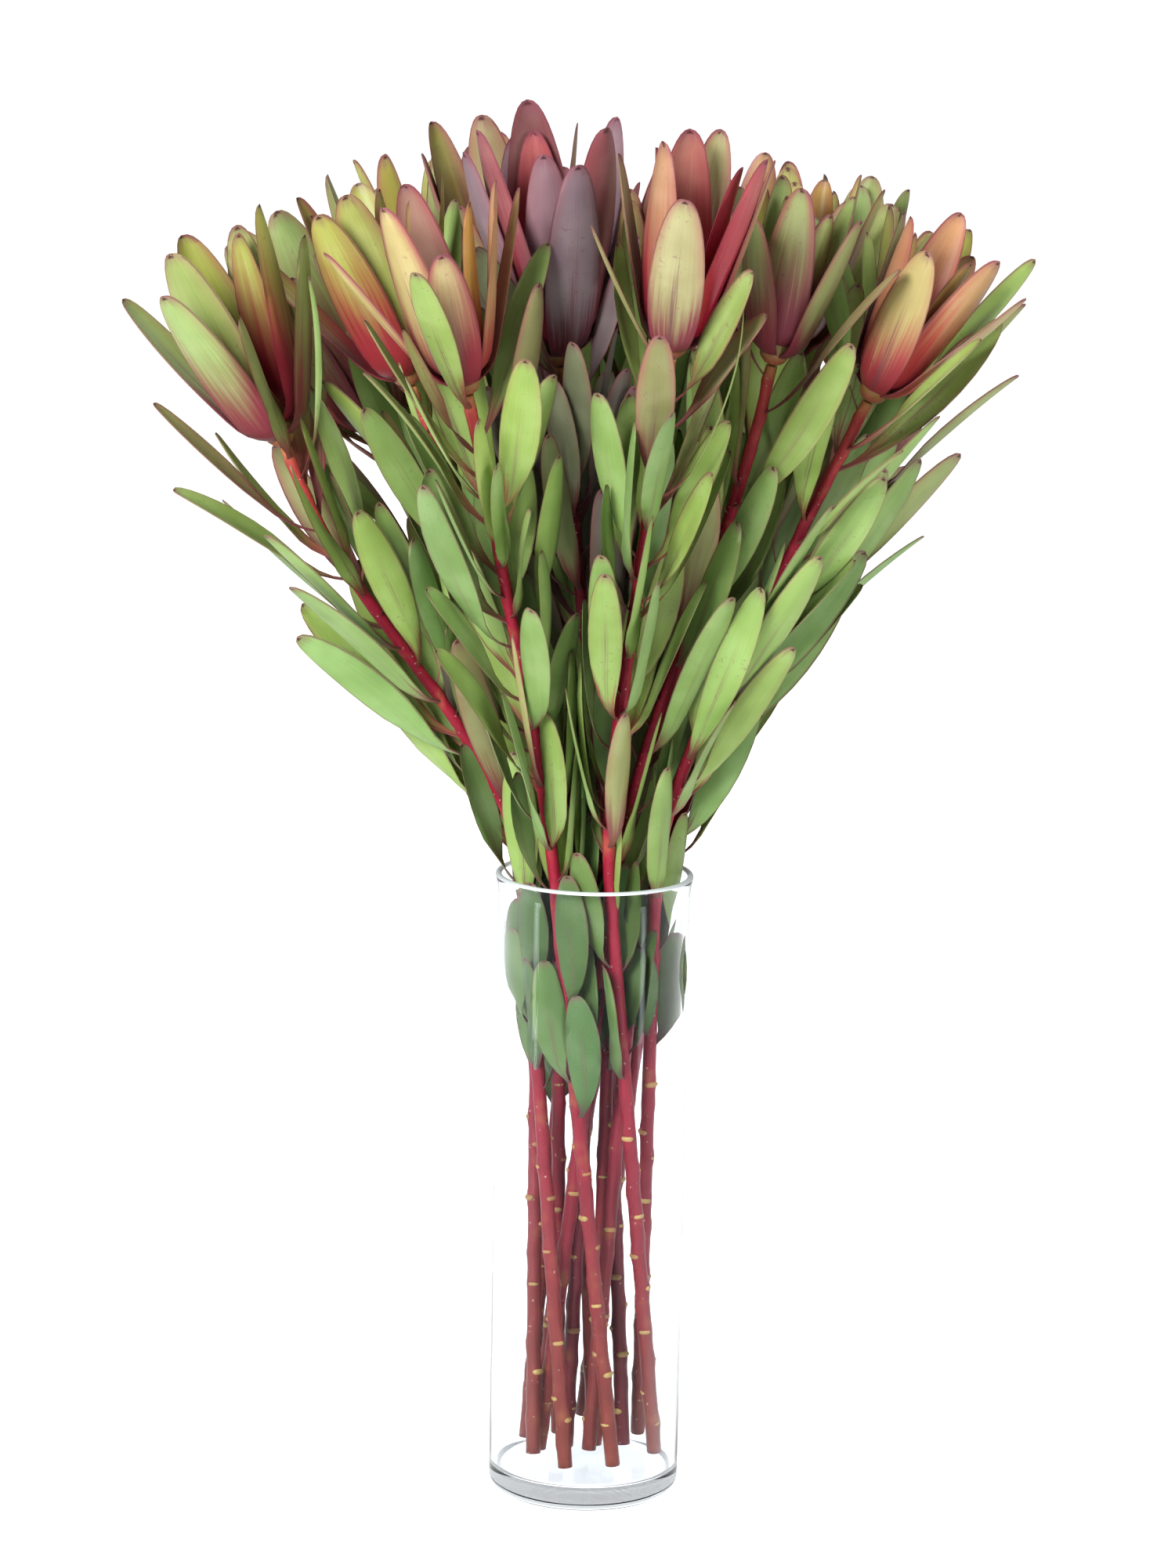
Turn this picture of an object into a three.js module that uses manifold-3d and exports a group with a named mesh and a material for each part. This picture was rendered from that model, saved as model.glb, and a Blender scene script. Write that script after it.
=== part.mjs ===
// Safari sunset leucadendron: a bunch of leafy flowering stems standing in a clear glass cylinder vase.
// Millimetres, +Z up, origin at the centre of the vase's underside, the front of the bunch towards -Y.
import * as THREE from 'three';
import { mergeVertices } from 'three/addons/utils/BufferGeometryUtils.js';
import Module from 'manifold-3d';

const wasm = await Module();
wasm.setup();

// Cylinder vase with a thick base, a rounded heel and a lip that flares a little.
const vase = {
  height: 300,
  radius: 45,
  wall: 3,
  base: 12,
  heel: 8,
  heelSteps: 2,
  flare: 2,
  lip: 4,
  sides: 32,
};

// Woody stems: straight inside the vase, bending over the rim and again below the flower head.
const stem = {
  sides: 6,
  footRadius: 3.4,
  neckRadius: 2.6,
  footHeight: 13,
  footRise: 20,
  bendStart: 270,
  bendLength: 120,
  bendSteps: 3,
  neckLength: 80,
  neckSteps: 2,
  headGap: 0.4,
};

// The stems stand in three rings in the vase, the nearer their heads are to the middle the further in.
// Each foot is turned from its place at the rim, the other way round in the outer ring, so the stems
// cross as they go down, and no two feet are turned or drawn in quite alike.
const rings = [
  { reach: 65, rimRadius: 11, footRadius: 11, footTurn: -80, firstTurn: -84 },
  { reach: 118, rimRadius: 22, footRadius: 23, footTurn: -80, firstTurn: -138 },
  { reach: Infinity, rimRadius: 33, footRadius: 35, footTurn: 85, firstTurn: -168 },
];
const feet = { seed: 3520, turnSpread: [-28, 28], reach: [0.75, 1] };

// Strap leaves in a spiral, wider apart further down the stem, short and upright inside the vase.
const leaf = {
  spiral: 137.5,
  turnSpread: [-10, 10],
  topDrop: 7,
  spacing: 15.5,
  spacingGrowth: 0.055,
  lowest: [200, 234],
  shortBelow: 215,
  longAbove: 360,
  shortLength: 60,
  longLength: 96,
  lengthSpread: [0.9, 1.1],
  halfWidth: 8.8,
  widthSpread: [0.88, 1.08],
  startOpen: 50,
  vaseOpen: 9,
  middleOpen: 15,
  topOpen: 30,
  topReach: 90,
  openSpread: [0.8, 1.25],
  curl: [-10, 8],
  sweep: [-12, 12],
  twist: [5, 75],
};

// Outline and section of a leaf: narrow at its base, fullest past its middle and blunt at its tip.
const leafShape = {
  settle: 0.32,
  twistEnd: 0.5,
  thickness: 1.5,
  cup: 0.22,
  peak: 1.4,
  fullness: [0.9, 0.45],
  stations: [4, 9, 14],
};

// Layers of bracts round the cone of a flower head, from the inner ones to the leafy outer ones. Their
// widths are half widths, as shares of the head's length.
const whorls = [
  { count: 2, rise: 12, turn: 20, size: 0.84, width: 0.11, peak: 0.72, open: 5, curl: 2, cup: 0.34 },
  { count: 3, rise: 8, turn: 80, size: 1.0, width: 0.135, peak: 0.75, open: 11, curl: -7, cup: 0.34 },
  { count: 4, rise: 3.5, turn: 35, size: 0.97, width: 0.11, peak: 1, open: 21, curl: -8, cup: 0.24 },
];

// How bracts differ within a layer. They bow, so each is a little longer than the head is tall.
const bract = {
  bow: 1.08,
  riseSpread: [0, 1.5],
  turnSpread: [-6, 6],
  openSpread: [0.6, 1.4],
  curlSpread: [-3, 3],
  sweep: [-5, 5],
  twist: [-12, 12],
  lengthSpread: [0.92, 1.02],
  widthSpread: [0.92, 1.08],
};

// Outline and section of a bract: broad from its base and blunt at its tip.
const bractShape = {
  start: 78,
  settle: 0.26,
  twistEnd: 1,
  thickness: 1.6,
  fullness: [0.5, 0.5],
  stations: [3, 8, 13],
};

const cone = { radius: 7.5, widest: 9, height: 36, sides: 6 };

// Degrees that a head leans back for each millimetre that it stands behind the vase's axis
const depthLean = 0.1;

// Flower heads in the order of their stems: where each head's base stands, its lean to the right in
// degrees, its length and its colouring.
const flowers = [
  { base: [-144, -45, 504], lean: -21, length: 102, tone: 'green' },
  { base: [-60, -115, 538], lean: -12, length: 89, tone: 'gold' },
  { base: [-38, 10, 542], lean: -10, length: 107, tone: 'gold' },
  { base: [-20, -55, 544], lean: -6, length: 112, tone: 'purple' },
  { base: [29, -120, 557], lean: 7, length: 97, tone: 'red' },
  { base: [75, -60, 547], lean: 11, length: 78, tone: 'green' },
  { base: [119, -50, 530], lean: 25, length: 85, tone: 'red' },
  { base: [-88, -20, 529], lean: -21, length: 97, tone: 'gold' },
  { base: [-100, 60, 494], lean: -27, length: 123, tone: 'green' },
  { base: [-74, 110, 537], lean: -13, length: 86, tone: 'green' },
  { base: [-3, 95, 533], lean: 1, length: 83, tone: 'purple' },
  { base: [15, 20, 542], lean: 1, length: 78, tone: 'gold' },
  { base: [57, 110, 532], lean: 3, length: 88, tone: 'red' },
  { base: [87, 50, 540], lean: 5, length: 83, tone: 'gold' },
  { base: [110, 120, 524], lean: 10, length: 91, tone: 'green' },
  { base: [131, 15, 525], lean: 14, length: 77, tone: 'green' },
];

const headColours = { green: '#8fa552', gold: '#b39a45', red: '#c8525a', purple: '#5b3a48' };
const leafColours = { green: '#7fa350', purple: '#5d4a57' };

// A blade that would touch another piece is tried at other sizes, openings and turns, in this order.
const clearance = 0.3;
const leafTries = {
  sizes: [1, 0.85, 0.7],
  openings: [1, 0.65, 1.4, 0.35],
  turns: [0, 15, -15, 30, -30, 45, -45],
};
const bractTries = {
  sizes: [1, 0.88, 0.76],
  openings: [1, 0.7, 0.4, 0.1, -0.2],
  turns: [0, 10, -10, 20, -20],
};

// Steps along a blade's midrib
const bladeSteps = 16;

// Helpers

function smooth(t) {
  const c = Math.min(1, Math.max(0, t));
  return c * c * (3 - 2 * c);
}

// Integral of smooth from 0 to t
function ramp(t) {
  if (t <= 0) return 0;
  if (t >= 1) return t - 0.5;
  return t ** 3 - t ** 4 / 2;
}

function mix(a, b, t) {
  return a + (b - a) * t;
}

function radians(degrees) {
  return THREE.MathUtils.degToRad(degrees);
}

function makeRandom(seed) {
  let state = Math.imul(seed, 2654435761) >>> 0;
  return () => {
    state = (Math.imul(state, 1664525) + 1013904223) >>> 0;
    return state / 4294967296;
  };
}

function draw(random, [low, high]) {
  return mix(low, high, random());
}

// Two unit vectors square to an upright axis, the first nearest to +X
function crossFrame(axis) {
  const first = new THREE.Vector3(1, 0, 0).addScaledVector(axis, -axis.x).normalize();
  return [first, new THREE.Vector3().crossVectors(axis, first)];
}

function around(frame, angle) {
  return frame[0].clone().multiplyScalar(Math.cos(angle)).addScaledVector(frame[1], Math.sin(angle));
}

// Solids

function solidFrom(points, triangles) {
  return new wasm.Manifold(
    new wasm.Mesh({
      numProp: 3,
      vertProperties: new Float32Array(points.flatMap((p) => [p.x, p.y, p.z])),
      triVerts: new Uint32Array(triangles),
    }),
  );
}

// Rings of points joined into a closed solid. An end that is a ring of one point is a tip, and any
// other end is closed flat. Alternate quads are split the other way, so that both faces of a blade match.
function loft(sections) {
  const points = sections.flat();
  const starts = sections.map((_, i) => sections.slice(0, i).flat().length);
  const triangles = [];
  const last = sections.length - 1;
  for (let i = 0; i < last; i++) {
    const [low, high] = [starts[i], starts[i + 1]];
    const [lowCount, highCount] = [sections[i].length, sections[i + 1].length];
    const count = Math.max(lowCount, highCount);
    for (let j = 0; j < count; j++) {
      const next = (j + 1) % count;
      if (lowCount === 1) triangles.push(low, high + next, high + j);
      else if (highCount === 1) triangles.push(low + j, low + next, high);
      else if (j % 2 === 0) triangles.push(low + j, low + next, high + next, low + j, high + next, high + j);
      else triangles.push(low + j, low + next, high + j, low + next, high + next, high + j);
    }
  }
  const top = starts[last];
  for (let j = 2; j < sections[0].length; j++) triangles.push(0, j, j - 1);
  for (let j = 2; j < sections[last].length; j++) triangles.push(top, top + j - 1, top + j);
  return solidFrom(points, triangles);
}

function ringAt(centre, axis, radius, sides) {
  const frame = crossFrame(axis);
  return Array.from({ length: sides }, (_, j) =>
    around(frame, (2 * Math.PI * j) / sides).multiplyScalar(radius).add(centre),
  );
}

// Half width of a blade at t along it, as a share of its greatest half width
function bladeWidth(t, form) {
  return Math.sin(Math.PI * t ** form.peak) ** mix(...form.fullness, t);
}

// Midrib of a blade that leaves an axis steeply, settles to its opening angle and may curl at the tip
function bladeMidrib(root, axis, outward, form) {
  const side = new THREE.Vector3().crossVectors(axis, outward);
  const points = [root.clone()];
  for (let i = 0; i < bladeSteps; i++) {
    const t = (i + 0.5) / bladeSteps;
    const angle = mix(form.start, form.open, smooth(t / form.settle)) + form.curl * t * t;
    const away = around([outward, side], form.sweep * t);
    const step = away.multiplyScalar(Math.sin(angle)).addScaledVector(axis, Math.cos(angle));
    points.push(points[i].clone().addScaledVector(step, form.length / bladeSteps));
  }
  return points;
}

// Blade: a point sunk in its parent, cupped four-cornered sections at the stations, and a tip
function makeBlade(root, axis, outward, form) {
  const side = new THREE.Vector3().crossVectors(axis, outward);
  const midrib = bladeMidrib(root, axis, outward, form);
  const sections = form.stations.map((i) => {
    const t = i / bladeSteps;
    const along = midrib[i + 1].clone().sub(midrib[i - 1]).normalize();
    const across = around([side, outward.clone().negate()], form.sweep * t);
    across.addScaledVector(along, -across.dot(along)).normalize();
    const face = new THREE.Vector3().crossVectors(along, across);
    const twist = form.twist * smooth(t / form.twistEnd);
    const turned = around([across, face], twist);
    const up = around([face, across.clone().negate()], twist);
    const half = form.halfWidth * bladeWidth(t, form);
    const at = (out, rise) => midrib[i].clone().addScaledVector(turned, out).addScaledVector(up, rise);
    const lift = form.cup * half;
    const thick = form.thickness / 2;
    return [at(half, lift), at(0, thick), at(-half, lift), at(0, -thick)];
  });
  return loft([[midrib[0]], ...sections, [midrib[bladeSteps]]]);
}

function boxesApart(a, b, gap) {
  return [0, 1, 2].some((k) => a.min[k] > b.max[k] + gap || b.min[k] > a.max[k] + gap);
}

// What has been placed so far: the solid, its box and the node that it belongs to
const placed = [];

function place(solid, node) {
  placed.push({ solid, box: solid.boundingBox(), node });
  return solid;
}

function isClear(solid, ownNode) {
  const box = solid.boundingBox();
  return placed.every(
    (other) =>
      other.node === ownNode ||
      boxesApart(box, other.box, clearance) ||
      solid.minGap(other.solid, clearance * 2) >= clearance,
  );
}

// First blade, among its tries, that stays clear of every other node
function fitBlade(root, axis, turn, form, tries, ownNode) {
  const frame = crossFrame(axis);
  for (const size of tries.sizes) {
    for (const opening of tries.openings) {
      for (const extra of tries.turns) {
        const outward = around(frame, turn + radians(extra));
        const tried = { ...form, length: form.length * size, open: form.open * opening };
        const blade = makeBlade(root, axis, outward, tried);
        if (isClear(blade, ownNode)) return blade;
      }
    }
  }
  return null;
}

function meshOf(solid, name, material) {
  const { vertProperties, triVerts } = solid.getMesh();
  const geometry = new THREE.BufferGeometry();
  geometry.setAttribute('position', new THREE.BufferAttribute(new Float32Array(vertProperties), 3));
  geometry.setIndex(new THREE.BufferAttribute(new Uint32Array(triVerts), 1));
  geometry.computeVertexNormals();
  const mesh = new THREE.Mesh(geometry, material);
  mesh.name = name;
  return mesh;
}

function numbered(name, index) {
  return `${name}_${String(index + 1).padStart(2, '0')}`;
}

// Vase

function makeVaseGeometry() {
  const inner = vase.radius - vase.wall;
  const heel = Array.from({ length: vase.heelSteps + 1 }, (_, i) => {
    const angle = radians(-90 + (90 * i) / vase.heelSteps);
    return new THREE.Vector2(
      vase.radius - vase.heel + vase.heel * Math.cos(angle),
      vase.heel + vase.heel * Math.sin(angle),
    );
  });
  const profile = [
    new THREE.Vector2(0, 0),
    ...heel,
    new THREE.Vector2(vase.radius, vase.height - 3 * vase.lip),
    new THREE.Vector2(vase.radius + vase.flare, vase.height - vase.lip / 4),
    new THREE.Vector2(vase.radius + vase.flare / 2, vase.height),
    new THREE.Vector2(inner + vase.flare / 2, vase.height - vase.lip / 4),
    new THREE.Vector2(inner, vase.height - 3 * vase.lip),
    new THREE.Vector2(inner, vase.base + vase.wall),
    new THREE.Vector2(inner - vase.wall, vase.base),
    new THREE.Vector2(0, vase.base),
  ];
  const geometry = new THREE.LatheGeometry(profile, vase.sides);
  geometry.rotateX(Math.PI / 2);
  return geometry;
}

function solidOfGeometry(geometry) {
  const bare = geometry.clone();
  bare.deleteAttribute('normal');
  bare.deleteAttribute('uv');
  const merged = mergeVertices(bare, 1e-4);
  return new wasm.Manifold(
    new wasm.Mesh({
      numProp: 3,
      vertProperties: merged.attributes.position.array,
      triVerts: new Uint32Array(merged.index.array),
    }),
  );
}

// Stems

// Places round the vase, in order of the directions in which the heads stand
function ringPlaces() {
  const places = [];
  rings.forEach((ring, level) => {
    const nearest = level === 0 ? 0 : rings[level - 1].reach;
    const members = flowers
      .map(({ base: [x, y] }, index) => ({ index, reach: Math.hypot(x, y), heading: Math.atan2(y, x) }))
      .filter(({ reach }) => reach >= nearest && reach < ring.reach)
      .sort((a, b) => a.heading - b.heading);
    members.forEach(({ index }, order) => {
      places[index] = { ring, angle: radians(ring.firstTurn + (360 * order) / members.length) };
    });
  });
  return places;
}

function makeRoute(flower, { ring, angle }, footRandom, random) {
  const top = flower.base;
  const topSlope = [Math.tan(radians(flower.lean)), Math.tan(radians(depthLean * top[1]))];
  const footAngle = angle + radians(ring.footTurn + draw(footRandom, feet.turnSpread));
  const footRadius = ring.footRadius * draw(footRandom, feet.reach);
  const footHeight = stem.footHeight + stem.footRise * random();
  const foot = [footRadius * Math.cos(footAngle), footRadius * Math.sin(footAngle)];
  const rim = [ring.rimRadius * Math.cos(angle), ring.rimRadius * Math.sin(angle)];
  const reach = top[2] - stem.bendStart - stem.bendLength / 2;
  const rise = top[2] - footHeight;
  const lower = [0, 1].map((k) => (rim[k] - foot[k]) / (vase.height - footHeight));
  const middle = [0, 1].map((k) => {
    const left = top[k] - foot[k] - lower[k] * (rise - reach) - (topSlope[k] * stem.neckLength) / 2;
    return left / (reach - stem.neckLength / 2);
  });
  const bend = (z) => (z - stem.bendStart) / stem.bendLength;
  const neck = (z) => (z - top[2] + stem.neckLength) / stem.neckLength;
  const shift = (z, k) =>
    foot[k] +
    lower[k] * (z - footHeight) +
    (middle[k] - lower[k]) * stem.bendLength * ramp(bend(z)) +
    (topSlope[k] - middle[k]) * stem.neckLength * ramp(neck(z));
  const slope = (z, k) =>
    lower[k] + (middle[k] - lower[k]) * smooth(bend(z)) + (topSlope[k] - middle[k]) * smooth(neck(z));
  return {
    footHeight,
    topHeight: top[2],
    point: (z) => new THREE.Vector3(shift(z, 0), shift(z, 1), z),
    axis: (z) => new THREE.Vector3(slope(z, 0), slope(z, 1), 1).normalize(),
    radius: (z) => mix(stem.footRadius, stem.neckRadius, (z - footHeight) / rise),
  };
}

function makeStemSolid(route) {
  const neckStart = route.topHeight - stem.neckLength;
  const heights = [route.footHeight, stem.bendStart];
  const bendStep = stem.bendLength / stem.bendSteps;
  const neckStep = stem.neckLength / stem.neckSteps;
  for (let i = 1; i <= stem.bendSteps; i++) heights.push(stem.bendStart + bendStep * i);
  for (let i = 0; i <= stem.neckSteps; i++) heights.push(neckStart + neckStep * i);
  const sections = heights.map((z) => {
    const axis = route.axis(z);
    const centre = route.point(z);
    if (z === route.topHeight) centre.addScaledVector(axis, -stem.headGap);
    return ringAt(centre, axis, route.radius(z), stem.sides);
  });
  return loft(sections);
}

// Leaves of one stem, from the top down: where each one grows and its form
function leafPlans(route, random) {
  const plans = [];
  const lowest = draw(random, leaf.lowest);
  const firstTurn = draw(random, [0, 360]);
  let z = route.topHeight - leaf.topDrop;
  for (let k = 0; z > lowest; k++) {
    const below = route.topHeight - z;
    const long = smooth((z - leaf.shortBelow) / (leaf.longAbove - leaf.shortBelow));
    const nearHead = smooth(1 - below / leaf.topReach);
    const open = mix(mix(leaf.vaseOpen, leaf.middleOpen, long), leaf.topOpen, nearHead);
    plans.push({
      z,
      turn: radians(firstTurn + leaf.spiral * k + draw(random, leaf.turnSpread)),
      form: {
        ...leafShape,
        start: radians(leaf.startOpen),
        open: radians(open * draw(random, leaf.openSpread)),
        curl: radians(draw(random, leaf.curl)),
        sweep: radians(draw(random, leaf.sweep)),
        twist: radians(draw(random, leaf.twist)) * (random() < 0.5 ? -1 : 1),
        length: mix(leaf.shortLength, leaf.longLength, long) * draw(random, leaf.lengthSpread),
        halfWidth: leaf.halfWidth * draw(random, leaf.widthSpread),
      },
    });
    z -= leaf.spacing + leaf.spacingGrowth * below;
  }
  return plans;
}

// Flower heads

function makeCone(base, axis) {
  const at = (height) => base.clone().addScaledVector(axis, height);
  return loft([
    ringAt(base, axis, stem.neckRadius, cone.sides),
    ringAt(at(cone.widest), axis, cone.radius, cone.sides),
    [at(cone.height)],
  ]);
}

function bractPlans(flower, random) {
  const firstTurn = draw(random, [0, 360]);
  return whorls.map((whorl) =>
    Array.from({ length: whorl.count }, (_, k) => ({
      rise: whorl.rise + draw(random, bract.riseSpread),
      turn: radians(firstTurn + whorl.turn + (360 * k) / whorl.count + draw(random, bract.turnSpread)),
      form: {
        ...bractShape,
        peak: whorl.peak,
        cup: whorl.cup,
        start: radians(bractShape.start),
        open: radians(whorl.open * draw(random, bract.openSpread)),
        curl: radians(whorl.curl + draw(random, bract.curlSpread)),
        sweep: radians(draw(random, bract.sweep)),
        twist: radians(draw(random, bract.twist)),
        length: bract.bow * flower.length * whorl.size * draw(random, bract.lengthSpread),
        halfWidth: flower.length * whorl.width * draw(random, bract.widthSpread),
      },
    })),
  );
}

// The bunch

const vaseGeometry = makeVaseGeometry();
place(solidOfGeometry(vaseGeometry), 'glass_vase');

const places = ringPlaces();
const plants = flowers.map((flower, index) => {
  const random = makeRandom(index + 1);
  const route = makeRoute(flower, places[index], makeRandom(feet.seed + index), random);
  return {
    flower,
    route,
    stemName: numbered('leafy_stem', index),
    headName: numbered('flower_head', index),
    base: new THREE.Vector3(...flower.base),
    axis: route.axis(route.topHeight),
    leaves: leafPlans(route, random),
    bracts: bractPlans(flower, random),
    stemParts: [],
    headParts: [],
  };
});

for (const plant of plants) {
  plant.stemParts.push(place(makeStemSolid(plant.route), plant.stemName));
  plant.headParts.push(place(makeCone(plant.base, plant.axis), plant.headName));
}

whorls.forEach((_, layer) => {
  for (const plant of plants) {
    for (const plan of plant.bracts[layer]) {
      const root = plant.base.clone().addScaledVector(plant.axis, plan.rise);
      const blade = fitBlade(root, plant.axis, plan.turn, plan.form, bractTries, plant.headName);
      if (blade) plant.headParts.push(place(blade, plant.headName));
    }
  }
});

const mostLeaves = Math.max(...plants.map((plant) => plant.leaves.length));
for (let k = 0; k < mostLeaves; k++) {
  for (const { leaves, route, stemName, stemParts } of plants) {
    if (k >= leaves.length) continue;
    const { z, turn, form } = leaves[k];
    const blade = fitBlade(route.point(z), route.axis(z), turn, form, leafTries, stemName);
    if (blade) stemParts.push(place(blade, stemName));
  }
}

// Nodes

const group = new THREE.Group();

const glass = new THREE.MeshStandardMaterial({ color: '#e9f1ee', roughness: 0.03 });
glass.transparent = true;
glass.opacity = 0.35;
const vaseMesh = new THREE.Mesh(vaseGeometry, glass);
vaseMesh.name = 'glass_vase';
group.add(vaseMesh);

for (const { flower, stemName, headName, stemParts, headParts } of plants) {
  const leafColour = leafColours[flower.tone === 'purple' ? 'purple' : 'green'];
  const leafMaterial = new THREE.MeshStandardMaterial({ color: leafColour, roughness: 0.5 });
  const bractMaterial = new THREE.MeshStandardMaterial({ color: headColours[flower.tone], roughness: 0.4 });
  group.add(meshOf(wasm.Manifold.union(stemParts), stemName, leafMaterial));
  group.add(meshOf(wasm.Manifold.union(headParts), headName, bractMaterial));
}

export default group;
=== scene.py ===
import math

import bmesh
import bpy
from mathutils import Matrix, Vector, bvhtree, kdtree


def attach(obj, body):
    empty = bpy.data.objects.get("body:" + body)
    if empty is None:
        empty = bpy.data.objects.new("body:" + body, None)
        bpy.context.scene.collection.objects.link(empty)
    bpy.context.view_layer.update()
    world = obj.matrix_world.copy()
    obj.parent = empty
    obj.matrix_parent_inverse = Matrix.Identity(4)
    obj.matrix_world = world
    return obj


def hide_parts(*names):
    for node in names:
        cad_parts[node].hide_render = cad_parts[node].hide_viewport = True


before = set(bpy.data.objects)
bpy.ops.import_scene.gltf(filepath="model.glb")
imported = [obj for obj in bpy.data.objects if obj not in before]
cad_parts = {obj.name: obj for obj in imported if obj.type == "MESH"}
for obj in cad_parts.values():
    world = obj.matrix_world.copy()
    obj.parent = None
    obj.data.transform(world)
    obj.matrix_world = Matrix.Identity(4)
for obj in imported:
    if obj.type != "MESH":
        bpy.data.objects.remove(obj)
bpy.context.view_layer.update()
scene = bpy.context.scene
mm = 0.001
print("frame loaded:", len(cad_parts), "nodes")


# Helpers that work as the ones of the CAD, so that the same draws give the same bunch

def smooth(t):
    c = min(1, max(0, t))
    return c * c * (3 - 2 * c)


def ramp(t):  # integral of smooth from 0 to t
    if t <= 0:
        return 0
    return t - 0.5 if t >= 1 else t**3 - t**4 / 2


def mix(a, b, t):
    return a + (b - a) * t


def makeRandom(seed):
    state = (seed * 2654435761) & 0xFFFFFFFF

    def random():
        nonlocal state
        state = (state * 1664525 + 1013904223) & 0xFFFFFFFF
        return state / 4294967296

    return random


def draw(random, spread):
    return mix(spread[0], spread[1], random())


def drawAngle(random, spread):
    return math.radians(draw(random, spread))


def crossFrame(axis):
    first = (Vector((1, 0, 0)) - axis * axis.x).normalized()
    return first, axis.cross(first)


def around(cross, angle):
    return cross[0] * math.cos(angle) + cross[1] * math.sin(angle)


def blend(colourA, colourB, t):
    return tuple(mix(a, b, t) for a, b in zip(colourA, colourB))


# Shader helpers

def plug(tree, value, socket):
    if isinstance(value, bpy.types.NodeSocket):
        tree.links.new(value, socket)
    else:
        socket.default_value = value


def addNode(tree, kind, *values, **settings):  # values go to its first sockets
    made = tree.nodes.new(f"ShaderNode{kind}")
    for key, value in settings.items():
        setattr(made, key, value)
    for socket, value in zip(made.inputs, values):
        plug(tree, value, socket)
    return made


def calc(tree, operation, *values):
    return addNode(tree, "Math", *values, operation=operation).outputs[0]


def times(tree, a, b):
    return calc(tree, "MULTIPLY", a, b)


def minus(tree, a, b):
    return calc(tree, "SUBTRACT", a, b)


def weigh(tree, values, shares):
    total, *others = [times(tree, value, share) for value, share in zip(values, shares)]
    for other in others:
        total = calc(tree, "ADD", total, other)
    return total


def fade(tree, value, start, end, low=0.0, high=1.0):
    given = (value, start, end, low, high)
    return addNode(tree, "MapRange", *given, interpolation_type="SMOOTHSTEP").outputs[0]


def mixColour(tree, factor, a, b, how="MIX"):
    made = addNode(tree, "Mix", data_type="RGBA", blend_type=how)
    for index, given in ((0, factor), (6, a), (7, b)):
        plug(tree, given, made.inputs[index])
    return made.outputs[2]


def stretch(tree, vector, scale):
    return addNode(tree, "VectorMath", vector, scale, operation="MULTIPLY").outputs[0]


def setSockets(node, values):
    for label, value in values.items():
        node.inputs[label].default_value = value


def split(tree, kind, value):
    return addNode(tree, kind, value).outputs[:3]


def noise(tree, vector, scale, detail):
    made = addNode(tree, "TexNoise")
    plug(tree, vector, made.inputs["Vector"])
    setSockets(made, {"Scale": scale, "Detail": detail})
    return made.outputs[0]


def addBump(tree, shader, height, strength, distance):
    bump = addNode(tree, "Bump")
    setSockets(bump, {"Strength": strength, "Distance": distance * mm})
    plug(tree, height, bump.inputs["Height"])
    plug(tree, bump.outputs[0], shader.inputs["Normal"])


def makeGroup(name, inputs, outputs):
    tree = bpy.data.node_groups.new(name, "ShaderNodeTree")
    for way, sockets in (("INPUT", inputs), ("OUTPUT", outputs)):
        for label, kind in sockets.items():
            tree.interface.new_socket(label, in_out=way, socket_type=f"NodeSocket{kind}")
    return tree, tree.nodes.new("NodeGroupInput").outputs, tree.nodes.new("NodeGroupOutput").inputs


def useGroup(tree, group, **values):
    made = addNode(tree, "Group", node_tree=group)
    for label, given in values.items():
        plug(tree, given, made.inputs[label])
    return made.outputs


def newMaterial(name):
    material = bpy.data.materials.new(name)
    material.use_nodes = True
    return material, material.node_tree, material.node_tree.nodes["Principled BSDF"]


def attributeOf(tree, name):
    return addNode(tree, "Attribute", attribute_name=name).outputs


# Pieces

def addObject(name, data):
    made = bpy.data.objects.new(name, data)
    scene.collection.objects.link(made)
    return made


def makeMesh(name, bm, *materials):
    mesh = bpy.data.meshes.new(name)
    bm.to_mesh(mesh)
    bm.free()
    for material in materials:
        mesh.materials.append(material)
    return mesh


def addPiece(mesh, slot, *nodes):
    piece = addObject(mesh.name, mesh)
    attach(piece, "root")
    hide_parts(*nodes)


# The plan of the bunch, with the values of the CAD

stem = {
    "footRadius": 3.4,
    "neckRadius": 2.6,
    "footHeight": 13,
    "footRise": 20,
    "bendStart": 270,
    "bendLength": 120,
    "neckLength": 80,
    "rimHeight": 300,
    "depthLean": 0.1,  # degrees that a head leans back for each millimetre behind the vase's axis
}

rings = [
    {"reach": 65, "rimRadius": 11, "footRadius": 11, "footTurn": -80, "firstTurn": -84},
    {"reach": 118, "rimRadius": 22, "footRadius": 23, "footTurn": -80, "firstTurn": -138},
    {"reach": math.inf, "rimRadius": 33, "footRadius": 35, "footTurn": 85, "firstTurn": -168},
]
feet = {"seed": 3520, "turnSpread": (-28, 28), "reach": (0.75, 1)}

leaf = {
    "spiral": 137.5,
    "turnSpread": (-10, 10),
    "topDrop": 7,
    "spacing": 15.5,
    "spacingGrowth": 0.055,
    "lowest": (200, 234),
    "shortBelow": 215,
    "longAbove": 360,
    "shortLength": 60,
    "longLength": 96,
    "lengthSpread": (0.9, 1.1),
    "halfWidth": 8.8,
    "widthSpread": (0.88, 1.08),
    "startOpen": 50,
    "vaseOpen": 9,
    "middleOpen": 15,
    "topOpen": 30,
    "topReach": 90,
    "openSpread": (0.8, 1.25),
    "curl": (-10, 8),
    "sweep": (-12, 12),
    "twist": (5, 75),
}
leafShape = {"settle": 0.32, "twistEnd": 0.5, "cup": 0.22, "peak": 1.4, "fullness": (0.9, 0.42), "broad": 1}

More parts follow.
